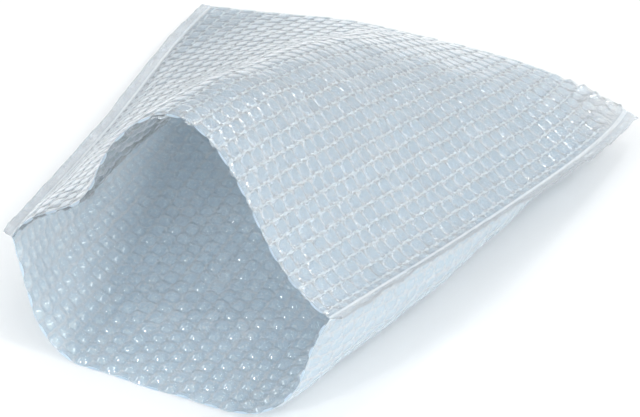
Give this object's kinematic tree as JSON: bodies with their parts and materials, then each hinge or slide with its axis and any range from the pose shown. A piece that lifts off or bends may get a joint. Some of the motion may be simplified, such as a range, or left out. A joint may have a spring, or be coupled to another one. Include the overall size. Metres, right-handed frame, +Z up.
{
  "type": "bubble pouch",
  "caption": "Open-ended pouch of bubble film, folded at the closed end and welded down both sides, lying with its mouth open; it cushions what is slid into it.",
  "frame": {"origin": "middle of the underside of the pouch's box, on the surface it lies on", "axes": "+X across the pouch, +Y from the open mouth to the fold that closes it, +Z up"},
  "size_m": [0.2984, 0.3686, 0.1661],
  "materials": {
    "bubble_film": "clear glossy polyethylene film, faintly blue, with bubbles"
  },
  "bodies": {
    "root": {"bubble_pouch": "bubble_film"}
  },
  "joints": []
}
